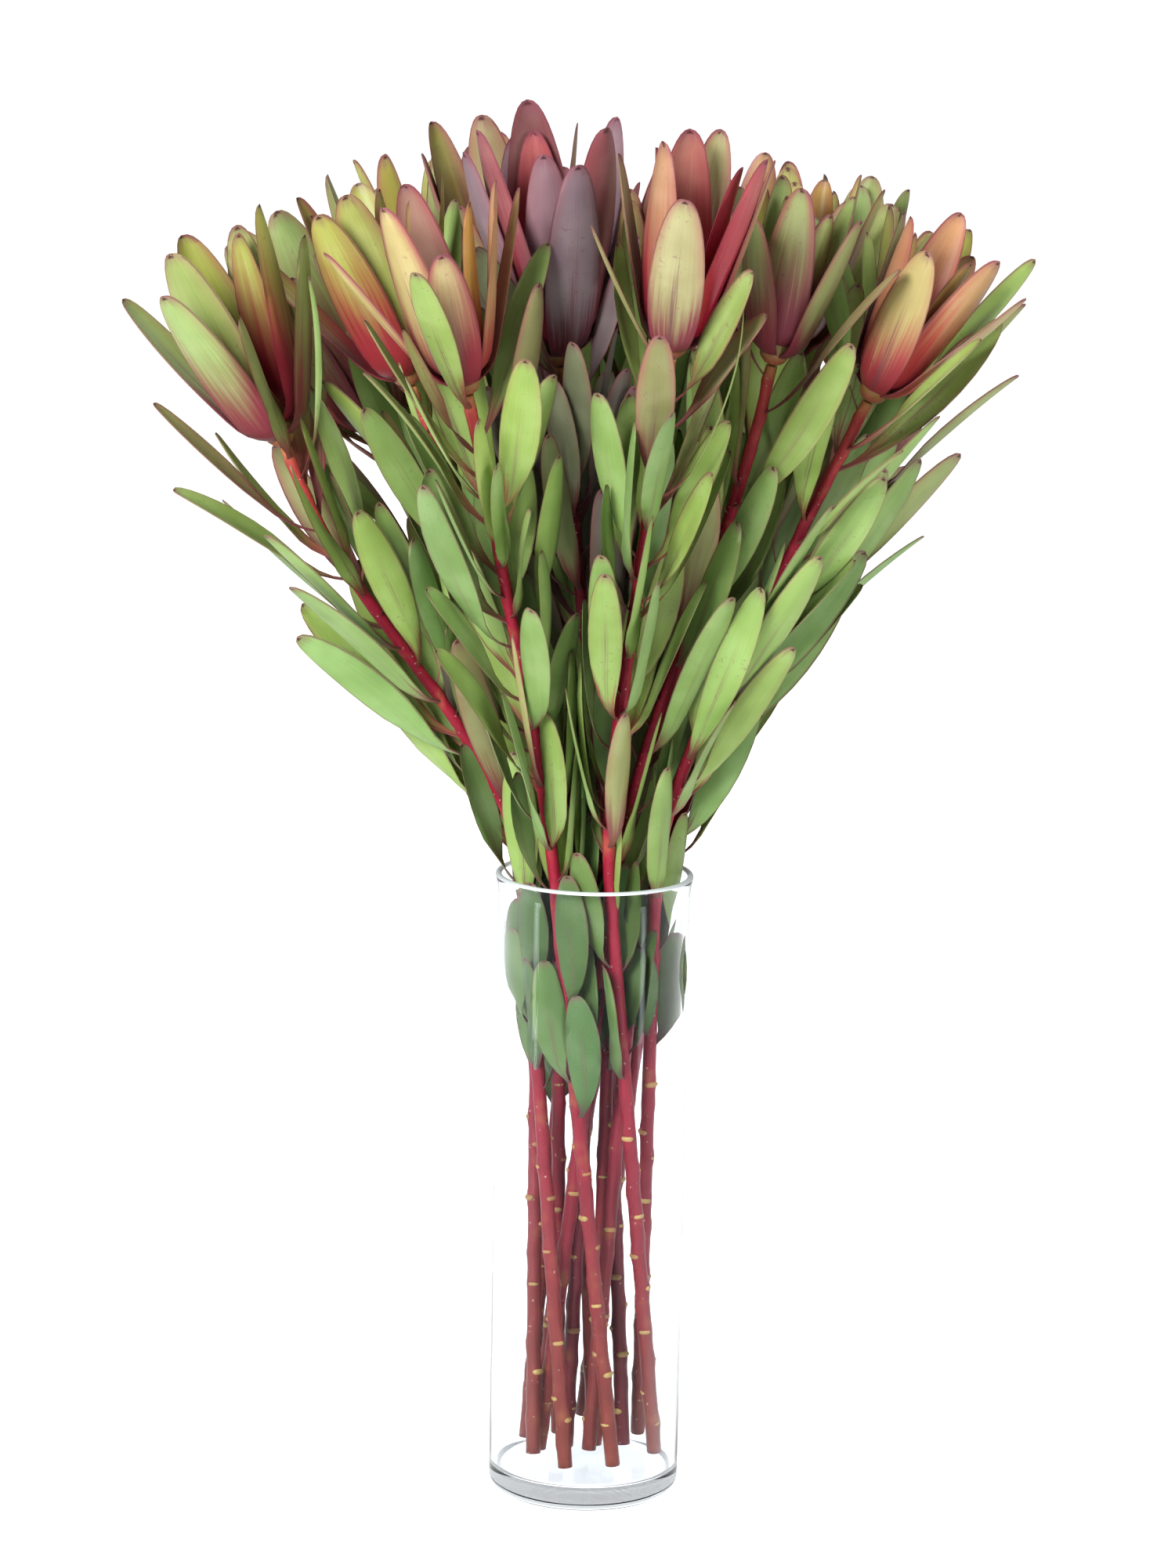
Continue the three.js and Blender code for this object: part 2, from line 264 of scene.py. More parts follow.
whorlValues = ("count", "rise", "turn", "size", "width", "peak", "open", "curl", "cup")
whorls = [dict(zip(whorlValues, row)) for row in (
    (2, 12, 20, 0.84, 0.11, 0.72, 5, 2, 0.34),
    (3, 8, 80, 1.0, 0.135, 0.75, 11, -7, 0.34),
    (4, 3.5, 35, 0.97, 0.11, 1, 21, -8, 0.24),
)]
bract = {
    "bow": 1.08,
    "riseSpread": (0, 1.5),
    "turnSpread": (-6, 6),
    "openSpread": (0.6, 1.4),
    "curlSpread": (-3, 3),
    "sweep": (-5, 5),
    "twist": (-12, 12),
    "lengthSpread": (0.92, 1.02),
    "widthSpread": (0.92, 1.08),
}
bractShape = {"start": 78, "settle": 0.26, "twistEnd": 1, "fullness": (0.5, 0.42), "broad": 1.1}

leafTries = {
    "sizes": (1, 0.85, 0.7),
    "openings": (1, 0.65, 1.4, 0.35),
    "turns": (0, 15, -15, 30, -30, 45, -45),
}
bractTries = {"sizes": (1, 0.88, 0.76), "openings": (1, 0.7, 0.4, 0.1, -0.2), "turns": (0, 10, -10, 20, -20)}
bladeSteps = 16

# Looks of a blade: its body colour, the flush at its base and how far along that reaches, the blush
# along its margins and tip, and its gloss
lookValues = ("body", "flush", "reach", "blush", "gloss")
looks = {
    "leafLight": ((0.3, 0.43, 0.085), (0.33, 0.09, 0.05), 0.18, 0.25, 0.1),
    "leafBlue": ((0.18, 0.315, 0.09), (0.18, 0.08, 0.06), 0.14, 0.05, 0.1),
    # the next look is painted shade, laid on the leaves inside the vase
    "vaseShadeLeaf": ((0.045, 0.11, 0.028), (0.1, 0.06, 0.05), 0.12, 0.02, 0.1),
    "leafPurple": ((0.14, 0.09, 0.11), (0.16, 0.025, 0.045), 0.3, 0.4, 0.2),
    "leafBronze": ((0.26, 0.235, 0.095), (0.2, 0.045, 0.05), 0.5, 0.7, 0.2),
    "lime": ((0.34, 0.38, 0.075), (0.27, 0.018, 0.03), 0.72, 0.5, 0.35),
    "glaucous": ((0.23, 0.32, 0.1), (0.21, 0.025, 0.04), 0.62, 0.3, 0.15),
    "paleGold": ((0.4, 0.38, 0.12), (0.27, 0.02, 0.04), 0.72, 0.9, 0.3),
    "olive": ((0.27, 0.24, 0.04), (0.15, 0.02, 0.03), 0.75, 0.8, 0.35),
    "salmon": ((0.5, 0.24, 0.12), (0.48, 0.04, 0.05), 0.7, 0.7, 0.5),
    "crimson": ((0.36, 0.085, 0.085), (0.34, 0.008, 0.028), 0.9, 0.6, 0.65),
    "duskyPink": ((0.36, 0.18, 0.15), (0.26, 0.03, 0.04), 0.6, 0.7, 0.3),
    "sagePink": ((0.27, 0.29, 0.115), (0.2, 0.03, 0.05), 0.65, 1.0, 0.25),
    "orange": ((0.5, 0.3, 0.07), (0.42, 0.05, 0.04), 0.65, 0.8, 0.3),
    "purpleGrey": ((0.25, 0.17, 0.205), (0.14, 0.016, 0.035), 0.5, 0.3, 0.3),
    "maroon": ((0.15, 0.04, 0.045), (0.19, 0.015, 0.03), 0.5, 0.3, 0.35),
}
looks = {name: dict(zip(lookValues, row)) for name, row in looks.items()}
kin = {  # looks that turn up among the bracts of a head, by its tone
    "green": ("lime", "olive", "glaucous", "maroon"),
    "gold": ("orange", "olive", "duskyPink", "sagePink"),
    "red": ("crimson", "salmon", "duskyPink", "sagePink"),
    "purple": ("purpleGrey", "crimson", "maroon", "crimson"),
}

# Flower heads in the order of their stems, with the looks of the inner, middle and outer bracts
flowerValues = ("base", "lean", "length", "tone", "looks")
flowers = [dict(zip(flowerValues, row)) for row in (
    ((-144, -45, 504), -21, 102, "green", ("lime", "lime", "glaucous")),
    ((-60, -115, 538), -12, 89, "gold", ("orange", "duskyPink", "paleGold")),
    ((-38, 10, 542), -10, 107, "gold", ("olive", "olive", "duskyPink")),
    ((-20, -55, 544), -6, 112, "purple", ("crimson", "maroon", "purpleGrey")),
    ((29, -120, 557), 7, 97, "red", ("crimson", "crimson", "sagePink")),
    ((75, -60, 547), 11, 78, "green", ("lime", "glaucous", "sagePink")),
    ((119, -50, 530), 25, 85, "red", ("orange", "salmon", "glaucous")),
    ((-88, -20, 529), -21, 97, "gold", ("olive", "olive", "lime")),
    ((-100, 60, 494), -27, 123, "green", ("lime", "glaucous", "glaucous")),
    ((-74, 110, 537), -13, 86, "green", ("lime", "lime", "glaucous")),
    ((-3, 95, 533), 1, 83, "purple", ("crimson", "maroon", "purpleGrey")),
    ((15, 20, 542), 1, 78, "gold", ("olive", "olive", "sagePink")),
    ((57, 110, 532), 3, 88, "red", ("crimson", "duskyPink", "olive")),
    ((87, 50, 540), 5, 83, "gold", ("orange", "paleGold", "lime")),
    ((110, 120, 524), 10, 91, "green", ("lime", "glaucous", "glaucous")),
    ((131, 15, 525), 14, 77, "green", ("olive", "lime", "glaucous")),
)]


def ringPlaces():
    places = {}
    nearest = 0
    for ring in rings:
        members = []
        for index, flower in enumerate(flowers):
            x, y, _ = flower["base"]
            if nearest <= math.hypot(x, y) < ring["reach"]:
                members.append((math.atan2(y, x), index))
        for order, (_, index) in enumerate(sorted(members)):
            places[index] = (ring, math.radians(ring["firstTurn"] + 360 * order / len(members)))
        nearest = ring["reach"]
    return places


def makeRoute(flower, place, footRandom, random):
    ring, angle = place
    top = flower["base"]
    topSlope = (math.tan(math.radians(flower["lean"])), math.tan(math.radians(stem["depthLean"] * top[1])))
    footAngle = angle + math.radians(ring["footTurn"] + draw(footRandom, feet["turnSpread"]))
    footRadius = ring["footRadius"] * draw(footRandom, feet["reach"])
    footHeight = stem["footHeight"] + stem["footRise"] * random()
    foot = [footRadius * turn(footAngle) for turn in (math.cos, math.sin)]
    rim = [ring["rimRadius"] * turn(angle) for turn in (math.cos, math.sin)]
    bendStart, bendLength, neckLength = stem["bendStart"], stem["bendLength"], stem["neckLength"]
    reach = top[2] - bendStart - bendLength / 2
    rise = top[2] - footHeight
    lower = [(rim[k] - foot[k]) / (stem["rimHeight"] - footHeight) for k in (0, 1)]
    middle = []
    for k in (0, 1):
        left = top[k] - foot[k] - lower[k] * (rise - reach) - topSlope[k] * neckLength / 2
        middle.append(left / (reach - neckLength / 2))

    def bend(z):
        return (z - bendStart) / bendLength

    def neck(z):
        return (z - top[2] + neckLength) / neckLength

    def shift(z, k):
        bent = (middle[k] - lower[k]) * bendLength * ramp(bend(z))
        leant = (topSlope[k] - middle[k]) * neckLength * ramp(neck(z))
        return foot[k] + lower[k] * (z - footHeight) + bent + leant

    def slope(z, k):
        bent = (middle[k] - lower[k]) * smooth(bend(z))
        return lower[k] + bent + (topSlope[k] - middle[k]) * smooth(neck(z))

    return {
        "footHeight": footHeight,
        "topHeight": top[2],
        "point": lambda z: Vector((shift(z, 0), shift(z, 1), z)),
        "axis": lambda z: Vector((slope(z, 0), slope(z, 1), 1)).normalized(),
        "radius": lambda z: mix(stem["footRadius"], stem["neckRadius"], (z - footHeight) / rise),
    }


def leafBends(spreads, random):  # leaves twist to either side
    bends = {key: drawAngle(random, spreads[key]) for key in ("curl", "sweep")}
    bends["twist"] = drawAngle(random, leaf["twist"]) * (-1 if random() < 0.5 else 1)
    return bends


def leafPlans(route, random):
    plans = []
    lowest = draw(random, leaf["lowest"])
    firstTurn = draw(random, (0, 360))
    z = route["topHeight"] - leaf["topDrop"]
    k = 0
    while z > lowest:
        below = route["topHeight"] - z
        long = smooth((z - leaf["shortBelow"]) / (leaf["longAbove"] - leaf["shortBelow"]))
        nearHead = smooth(1 - below / leaf["topReach"])
        opening = mix(mix(leaf["vaseOpen"], leaf["middleOpen"], long), leaf["topOpen"], nearHead)
        turn = math.radians(firstTurn + leaf["spiral"] * k + draw(random, leaf["turnSpread"]))
        form = dict(leafShape, start=math.radians(leaf["startOpen"]))
        form["open"] = math.radians(opening * draw(random, leaf["openSpread"]))
        form.update(leafBends(leaf, random))
        length = mix(leaf["shortLength"], leaf["longLength"], long)
        form["length"] = length * draw(random, leaf["lengthSpread"])
        form["halfWidth"] = leaf["halfWidth"] * draw(random, leaf["widthSpread"])
        plans.append({"z": z, "turn": turn, "form": form, "nearHead": nearHead})
        z -= leaf["spacing"] + leaf["spacingGrowth"] * below
        k += 1
    return plans, {"z": z, "turn": math.radians(firstTurn + leaf["spiral"] * k)}


def bractPlans(flower, random):
    firstTurn = draw(random, (0, 360))
    layers = []
    for whorl in whorls:
        layer = []
        for k in range(whorl["count"]):
            rise = whorl["rise"] + draw(random, bract["riseSpread"])
            turn = firstTurn + whorl["turn"] + 360 * k / whorl["count"] + draw(random, bract["turnSpread"])
            form = dict(bractShape, peak=whorl["peak"], cup=whorl["cup"])
            form["start"] = math.radians(bractShape["start"])
            form["open"] = math.radians(whorl["open"] * draw(random, bract["openSpread"]))
            form["curl"] = math.radians(whorl["curl"] + draw(random, bract["curlSpread"]))
            form["sweep"] = drawAngle(random, bract["sweep"])
            form["twist"] = drawAngle(random, bract["twist"])
            length = bract["bow"] * flower["length"] * whorl["size"]
            form["length"] = length * draw(random, bract["lengthSpread"])
            form["halfWidth"] = flower["length"] * whorl["width"] * draw(random, bract["widthSpread"])
            layer.append({"rise": rise, "turn": math.radians(turn), "form": form})
        layers.append(layer)
    return layers


def bladeMidrib(root, axis, outward, form):
    side = axis.cross(outward)
    points = [root.copy()]
    for i in range(bladeSteps):
        t = (i + 0.5) / bladeSteps
        angle = mix(form["start"], form["open"], smooth(t / form["settle"])) + form["curl"] * t * t
        away = around((outward, side), form["sweep"] * t)
        step = away * math.sin(angle) + axis * math.cos(angle)
        points.append(points[-1] + step * (form["length"] / bladeSteps))
    return points


# A blade of the CAD stands where its tip is found among the points of its node, this close to it

fitReach = 0.2 * mm


def tipFinder(node):
    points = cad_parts[node].data.vertices
    tree = kdtree.KDTree(len(points))
    for i, point in enumerate(points):
        tree.insert(point.co, i)
    tree.balance()
    return lambda blade: tree.find(blade["midrib"][-1] * mm)[2] < fitReach


def fitBlade(root, axis, turn, form, tries, fits):
    cross = crossFrame(axis)
    for size in tries["sizes"]:
        for opening in tries["openings"]:
            for extra in tries["turns"]:
                outward = around(cross, turn + math.radians(extra))
                tried = dict(form, length=form["length"] * size, open=form["open"] * opening)
                midrib = bladeMidrib(root, axis, outward, tried)
                blade = {"axis": axis, "outward": outward, "form": tried, "midrib": midrib}
                if fits(blade):
                    return blade
    return None


# Blades as thin shells

bladeMesh = {
    "leaf": (4, 15, 0.7),  # faces across and along, and the thickness
    "bract": (6, 20, 0.9),
    "footHalfWidth": 1.5,
    "tipHalfWidth": 0.35,
    "taperEnd": 0.5,
    "cupPower": 1.6,
    "sharpEdge": 50,
    "coarse": (2, 8),  # faces across and along the stand-in that tests whether a blade is clear
    "clearance": 1.2,
}


def bladeWidth(t, form):
    share = max(0, math.sin(math.pi * t ** form["peak"])) ** mix(*form["fullness"], t)
    return form["halfWidth"] * form["broad"] * share


def bladePoint(blade, across, t):
    form, midrib, outward = blade["form"], blade["midrib"], blade["outward"]
    side = blade["axis"].cross(outward)
    place = t * bladeSteps
    i = min(int(place), bladeSteps - 1)

    def heading(k):
        return (midrib[min(k + 1, bladeSteps)] - midrib[max(k - 1, 0)]).normalized()

    along = heading(i).lerp(heading(i + 1), place - i).normalized()
    acrossWay = around((side, -outward), form["sweep"] * t)
    acrossWay = (acrossWay - along * acrossWay.dot(along)).normalized()
    face = along.cross(acrossWay)
    twist = form["twist"] * smooth(t / form["twistEnd"])
    turned = around((acrossWay, face), twist)
    up = around((face, -acrossWay), twist)
    least = mix(bladeMesh["footHalfWidth"], bladeMesh["tipHalfWidth"], smooth(t / bladeMesh["taperEnd"]))
    half = max(bladeWidth(t, form), least)
    lift = form["cup"] * half * abs(across) ** bladeMesh["cupPower"]
    return midrib[i].lerp(midrib[i + 1], place - i) + turned * (across * half) + up * lift


def shapeGrid(bm, blade, across, along):
    made = bmesh.ops.create_grid(bm, x_segments=across, y_segments=along, size=1)["verts"]
    places = {vert: (vert.co.x, 0.5 - 0.5 * math.cos(math.pi * (vert.co.y + 1) / 2)) for vert in made}
    for vert, (side, t) in places.items():
        vert.co = bladePoint(blade, side, t) * mm
    return places


def newBladeMesh():
    bm = bmesh.new()
    bm.loops.layers.uv.new("blade")
    for name in ("body", "flush", "marks"):
        bm.verts.layers.float_color.new(name)
    return bm


def dress(bm, spots, look):  # vertices, with their spots on the blade's pattern, get its look
    uv = bm.loops.layers.uv["blade"]
    layers = [(bm.verts.layers.float_color[name], look[name]) for name in ("body", "flush", "marks")]
    for vert in spots:
        for layer, value in layers:
            vert[layer] = value
    faces = {face for vert in spots for face in vert.link_faces}
    for face in faces:
        face.smooth = True
        for loop in face.loops:
            loop[uv].uv = spots[loop.vert]
    return faces


def growBlade(bm, blade, across, along, thickness):
    places = shapeGrid(bm, blade, across, along)
    faces = dress(bm, {vert: (side / 2 + 0.5, t) for vert, (side, t) in places.items()}, blade)
    shell = bmesh.ops.solidify(bm, geom=list(faces), thickness=thickness * mm)["geom"]
    walls = {item for item in shell if isinstance(item, bmesh.types.BMFace)} | faces
    for edge in {edge for face in walls for edge in face.edges}:
        edge.smooth = edge.calc_face_angle(0) < math.radians(bladeMesh["sharpEdge"])


# What has been placed, as its box and a coarse tree of faces, for the leaves that are added between

placed = []
glassSpace = {"top": 303, "inside": 40.5, "outside": 50}  # no leaf passes between these radii below the top


def bladeTree(blade):
    bm = bmesh.new()
    shapeGrid(bm, blade, *bladeMesh["coarse"])
    tree = bvhtree.BVHTree.FromBMesh(bm, epsilon=bladeMesh["clearance"] * mm)
    points = [vert.co.copy() for vert in bm.verts]
    bm.free()
    low = Vector(min(point[k] for point in points) for k in range(3))
    high = Vector(max(point[k] for point in points) for k in range(3))
    return low, high, tree


def keepBlade(blades, blade):
    blades.append(blade)
    placed.append(bladeTree(blade))


def crossesGlass(point):
    radius = math.hypot(point.x, point.y)
    return point.z < glassSpace["top"] and glassSpace["inside"] < radius < glassSpace["outside"]


def isClear(blade):
    low, high, tree = bladeTree(blade)
    if any(crossesGlass(point) for point in blade["midrib"]):
        return False
    for otherLow, otherHigh, otherTree in placed:
        if any(low[k] > otherHigh[k] or otherLow[k] > high[k] for k in range(3)):
            continue
        if tree.overlap(otherTree):
            return False
    return True


# Colours of leaves and bracts, each a little different from the next

tinting = {
    "seed": 101,
    "dusk": 0.5,  # the most that a stem's leaves turn bronze
    "light": (0.8, 1.12),
    "headLight": 0.14,  # how much lighter bracts are, and the leaves close to a head
    "blush": (0.5, 1.2),
    "streak": (0.2, 1.2),
    "reach": (0.7, 1.5),
    "leafStreak": (0.6, 1),  # far from the head and close to it
    "bractStreak": 0.7,
    "warmth": (0.3, 0.35, 0.9, 0.4),  # of every leaf, more near the head, and the swing of its draw
    "purpleShare": 0.8,
    "duskByHead": (0.3, 1.2),
    "darkBlend": (0.5, 1),
    "headBlend": 0.4,
    "vaseShadeFade": (15, 40),  # painted shade: leaves turn darker from this far above the rim, over this length, for the shade inside the vase
    "vaseShadeBlend": 0.8,
    "nearBlend": 0.25,
    "frontBlend": (0.75, -2.4, 1),  # bracts at the front of the bunch take the outer look
    "kinBlend": (0.5, 0.2),
}


def colourBlade(blade, look, streak, lift, random):
    light = lift * draw(random, tinting["light"])
    blade["body"] = (*(c * light for c in look["body"]), look["blush"] * draw(random, tinting["blush"]))
    blade["flush"] = (*look["flush"], 1)
    streak *= draw(random, tinting["streak"])
    blade["marks"] = (look["reach"] * draw(random, tinting["reach"]), look["gloss"], random(), streak)


def blendLooks(lookA, lookB, t):
    mixed = {key: mix(lookA[key], lookB[key], t) for key in ("reach", "blush", "gloss")}
    return dict(mixed, **{key: blend(lookA[key], lookB[key], t) for key in ("body", "flush")})


def colourLeaf(blade, plant, nearHead, random):
    least, byHead, swing, middle = tinting["warmth"]
    warmth = min(1, max(0, least + byHead * nearHead + swing * (random() - middle)))
    look = blendLooks(looks["leafBlue"], looks["leafLight"], warmth)
    dark, share = looks["leafPurple"], tinting["purpleShare"]
    if plant["tone"] != "purple":
        base, byHead = tinting["duskByHead"]
        dark, share = looks["leafBronze"], plant["dusk"] * (base + byHead * nearHead)
    if random() < share:
        look = blendLooks(look, dark, draw(random, tinting["darkBlend"]))
    look = blendLooks(look, looks[plant["looks"][2]], tinting["headBlend"] * nearHead * random())
    # painted shade: leaves low in the vase take the darker look, for the shade inside the vase
    above, length = tinting["vaseShadeFade"]
    vaseShadeShare = smooth((stem["rimHeight"] + above - blade["midrib"][bladeSteps // 2].z) / length)
    look = blendLooks(look, looks["vaseShadeLeaf"], tinting["vaseShadeBlend"] * vaseShadeShare)
    streak = mix(*tinting["leafStreak"], nearHead)
    colourBlade(blade, look, streak, 1 + tinting["headLight"] * nearHead, random)


def colourBract(blade, plant, layer, random):
    look, near = looks[plant["looks"][layer]], looks[plant["looks"][max(0, layer - 1)]]
    other = looks[kin[plant["tone"]][int(4 * random())]]
    look = blendLooks(look, near, tinting["nearBlend"] * random())
    most, slope, start = tinting["frontBlend"]
    look = blendLooks(look, looks[plant["looks"][2]], most * smooth(slope * blade["outward"].y - start))
    most, start = tinting["kinBlend"]
    look = blendLooks(look, other, most * smooth(random() - start))
    colourBlade(blade, look, tinting["bractStreak"], 1 + tinting["headLight"], random)


# Skin of leaves and bracts: a flush from the base, lengthwise streaks and veins, a blush towards the
# margins, a thin dark margin and a callus at the tip. Bands run from where a mark starts to where it is full.

skin = {
    "marginColour": (0.13, 0.025, 0.04, 1),
    "tipColour": (0.2, 0.05, 0.08, 1),
    "callusColour": (0.07, 0.015, 0.015, 1),
    "streakColour": (0.15, 0.045, 0.06, 1),
    "bloomColour": (0.5, 0.55, 0.42, 1),
    "blushColour": (0.34, 0.075, 0.085, 1),
    "veinScale": (36.0, 2.0, 40.0),
    "streakScale": (7.0, 1.1, 40.0),
    "blotchScale": 45.0,
    "speckScale": 1400.0,
    "freckleScale": 420.0,
    "shade": (0.22, 0.5, 0.64),  # of veins, of blotches and the least
    "bloomBand": (0.4, 0.75),
    "bloom": 0.1,
    "waves": 0.5,
    "blushRim": (1.0, 0.45, 1.0),  # across, along and of the waves
    "blushBand": (0.75, 1.5),
    "flushEdge": (1.0, 1.0, 0.3, -0.1),  # along, of waves and veins, and across
    "flushEnd": 0.25,
    "freckleBand": (0.62, 0.72),
    "frecklePatch": (0.42, 0.6),
    "freckles": 0.5,
    "midribBand": (0.32, 0.02),
    "midribEnd": (0.9, 0.4),
    "midribLines": (0.42, 0.62),
    "marginEdge": (1.0, 0.1),
    "marginBand": (0.92, 0.985, 0.0, 0.6),
    "tipEdge": (1.0, 0.2),
    "tipBand": (0.93, 1.0, 0.0, 0.5),
    "callusBand": (0.98, 0.992),
    "callusWidth": (0.75, 0.3),
    "roughness": (0.12, 0.46),  # of specks and everywhere
    "shine": (0.3, 0.12),  # of the gloss, where the flush is full and everywhere
    "relief": (0.6, 0.8, 0.15),  # of veins, blotches and specks
}


def makeBladePattern():
    inputs = {"Place": "Vector", "Object": "Vector", "Body": "Color", "Flush": "Color", "Marks": "Color"}
    inputs.update(Streak="Float", Blush="Float")
    outputs = {"Color": "Color", "Roughness": "Float", "Height": "Float"}
    tree, given, result = makeGroup("bladePattern", inputs, outputs)
    across, along, _ = split(tree, "SeparateXYZ", given["Place"])
    reach, gloss, seed = split(tree, "SeparateColor", given["Marks"])
    side = calc(tree, "ABSOLUTE", calc(tree, "MULTIPLY_ADD", across, 2.0, -1.0))
    own = addNode(tree, "CombineXYZ", across, along, seed).outputs[0]
    veins = noise(tree, stretch(tree, own, skin["veinScale"]), 1.0, 1.5)
    streaks = noise(tree, stretch(tree, own, skin["streakScale"]), 1.0, 3.0)
    blotches = noise(tree, given["Object"], skin["blotchScale"], 2.0)
    specks = noise(tree, given["Object"], skin["speckScale"], 1.0)
    freckles = noise(tree, given["Object"], skin["freckleScale"], 2.0)

    shade = weigh(tree, (veins, blotches, 1.0), skin["shade"])
    body = mixColour(tree, 1.0, given["Body"], shade, "MULTIPLY")
    bloom = times(tree, fade(tree, blotches, *skin["bloomBand"]), skin["bloom"])
    body = mixColour(tree, bloom, body, skin["bloomColour"])

    uneven = minus(tree, streaks, 0.5)
    wavy = times(tree, uneven, skin["waves"])
    rim = weigh(tree, (side, along, wavy), skin["blushRim"])
    blush = times(tree, fade(tree, rim, *skin["blushBand"]), given["Blush"])
    colour = mixColour(tree, blush, body, skin["blushColour"])

    edge = weigh(tree, (along, wavy, minus(tree, veins, 0.5), side), skin["flushEdge"])
    flush = fade(tree, edge, reach, times(tree, reach, skin["flushEnd"]))
    colour = mixColour(tree, flush, colour, given["Flush"])

    patch = fade(tree, blotches, *skin["frecklePatch"])
    dots = times(tree, fade(tree, freckles, *skin["freckleBand"]), patch)
    dots = times(tree, dots, times(tree, given["Streak"], skin["freckles"]))
    colour = mixColour(tree, dots, colour, skin["streakColour"])
    middle = times(tree, fade(tree, side, *skin["midribBand"]), fade(tree, along, *skin["midribEnd"]))
    middle = times(tree, times(tree, middle, fade(tree, veins, *skin["midribLines"])), given["Streak"])
    colour = mixColour(tree, middle, colour, skin["streakColour"])

    margin = weigh(tree, (side, uneven), skin["marginEdge"])
    colour = mixColour(tree, fade(tree, margin, *skin["marginBand"]), colour, skin["marginColour"])
    tip = weigh(tree, (along, wavy), skin["tipEdge"])
    colour = mixColour(tree, fade(tree, tip, *skin["tipBand"]), colour, skin["tipColour"])
    callus = times(tree, fade(tree, along, *skin["callusBand"]), fade(tree, side, *skin["callusWidth"]))
    plug(tree, mixColour(tree, callus, colour, skin["callusColour"]), result["Color"])

    shine = times(tree, gloss, calc(tree, "MULTIPLY_ADD", flush, *skin["shine"]))
    rough = weigh(tree, (specks, 1.0), skin["roughness"])
    plug(tree, minus(tree, rough, shine), result["Roughness"])
    plug(tree, weigh(tree, (veins, blotches, specks), skin["relief"]), result["Height"])
    return tree


bladePattern = makeBladePattern()


def makeSkin(name, sheen, coat):
    material, tree, shader = newMaterial(name)
    coordinates = addNode(tree, "TexCoord").outputs
    body, marks = attributeOf(tree, "body"), attributeOf(tree, "marks")
    values = {
        "Place": coordinates["UV"],
        "Object": coordinates["Object"],
        "Body": body["Color"],
        "Blush": body["Alpha"],
        "Flush": attributeOf(tree, "flush")["Color"],
        "Marks": marks["Color"],
        "Streak": marks["Alpha"],
    }
    made = useGroup(tree, bladePattern, **values)
    plug(tree, made["Color"], shader.inputs["Base Color"])
    plug(tree, made["Roughness"], shader.inputs["Roughness"])
    addBump(tree, shader, made["Height"], 0.3, 0.4)
    setSockets(shader, {"Specular IOR Level": 0.35, "Sheen Weight": sheen, "Sheen Roughness": 0.5})
    setSockets(shader, {"Coat Weight": coat, "Coat Roughness": 0.25})
    return material


skins = {
    "leaf_green": makeSkin("greenLeafSkin", 0.03, 0.0),
    "leaf_purple": makeSkin("purpleLeafSkin", 0.1, 0.0),
    "bract_green": makeSkin("greenBractSkin", 0.03, 0.08),
    "bract_gold": makeSkin("goldBractSkin", 0.02, 0.1),
    "bract_red": makeSkin("redBractSkin", 0.02, 0.15),
    "bract_purple": makeSkin("purpleBractSkin", 0.08, 0.08),
}
print("blade skins ready")


# Woody stems: round, with raised leaf scars below the leaves and a pale cut end

bark = {
    "sides": 10,
    "rowStep": 3.5,
    "knotReach": 6.0,  # a stem swells and steps aside a little at each leaf and scar
    "knotSwell": 0.3,
    "knotShift": 0.45,
    "collarColour": (0.42, 0.18, 0.065),
    "neckColour": (0.5, 0.06, 0.05),
    "upperColour": (0.36, 0.012, 0.035),
    "lowerColour": (0.31, 0.026, 0.042),
    "footColour": (0.24, 0.052, 0.032),
    "purpleColour": (0.14, 0.02, 0.035),
    "scarColour": (0.55, 0.4, 0.14),
    "cutColour": (0.5, 0.42, 0.24),
    "patchColour": (0.35, 0.16, 0.05, 1),
    "fleckColour": (0.7, 0.6, 0.5, 1),
    "grainScale": (900.0, 900.0, 70.0),
    "patchScale": 90.0,
    "fleckScale": 620.0,
    "patchBand": (0.55, 0.75, 0.0, 0.35),
    "fleckBand": (0.72, 0.78, 0.0, 0.6),
    "shade": (0.5, 0.6, 0.45),  # of grain, of patches and the least
    "relief": (1.0, 0.7),
    "footFade": (60, 200),
    "upperFade": (120, 150),
    "neckFade": 70,
    "collarFade": 8,
    "purpleShare": 0.75,
    "scarSpacing": 13.0,
    "scarGap": (0.75, 1.3),
    "scarScale": (0.6, 1.15),
    "scarBlend": (0.05, 0.6),
    "scarSize": (3.1, 1.6, 1.5),
    "scarSunk": 0.45,
    "lowestScar": 5,
    "cutRim": 0.6,
    "roughness": (0.2, 0.3),
}


def makeBark():
    material, tree, shader = newMaterial("crimsonBark")
    place = addNode(tree, "TexCoord").outputs["Object"]
    grain = noise(tree, stretch(tree, place, bark["grainScale"]), 1.0, 3.0)
    patches = noise(tree, place, bark["patchScale"], 3.0)
    flecks = noise(tree, place, bark["fleckScale"], 1.0)
    shade = weigh(tree, (grain, patches, 1.0), bark["shade"])
    colour = mixColour(tree, 1.0, attributeOf(tree, "bark")["Color"], shade, "MULTIPLY")
    colour = mixColour(tree, fade(tree, patches, *bark["patchBand"]), colour, bark["patchColour"])
    colour = mixColour(tree, fade(tree, flecks, *bark["fleckBand"]), colour, bark["fleckColour"])
    plug(tree, colour, shader.inputs["Base Color"])
    plug(tree, weigh(tree, (grain, 1.0), bark["roughness"]), shader.inputs["Roughness"])
    addBump(tree, shader, weigh(tree, (grain, patches), bark["relief"]), 0.5, 0.4)
    setSockets(shader, {"Specular IOR Level": 0.25})
    return material


barkMaterial = makeBark()


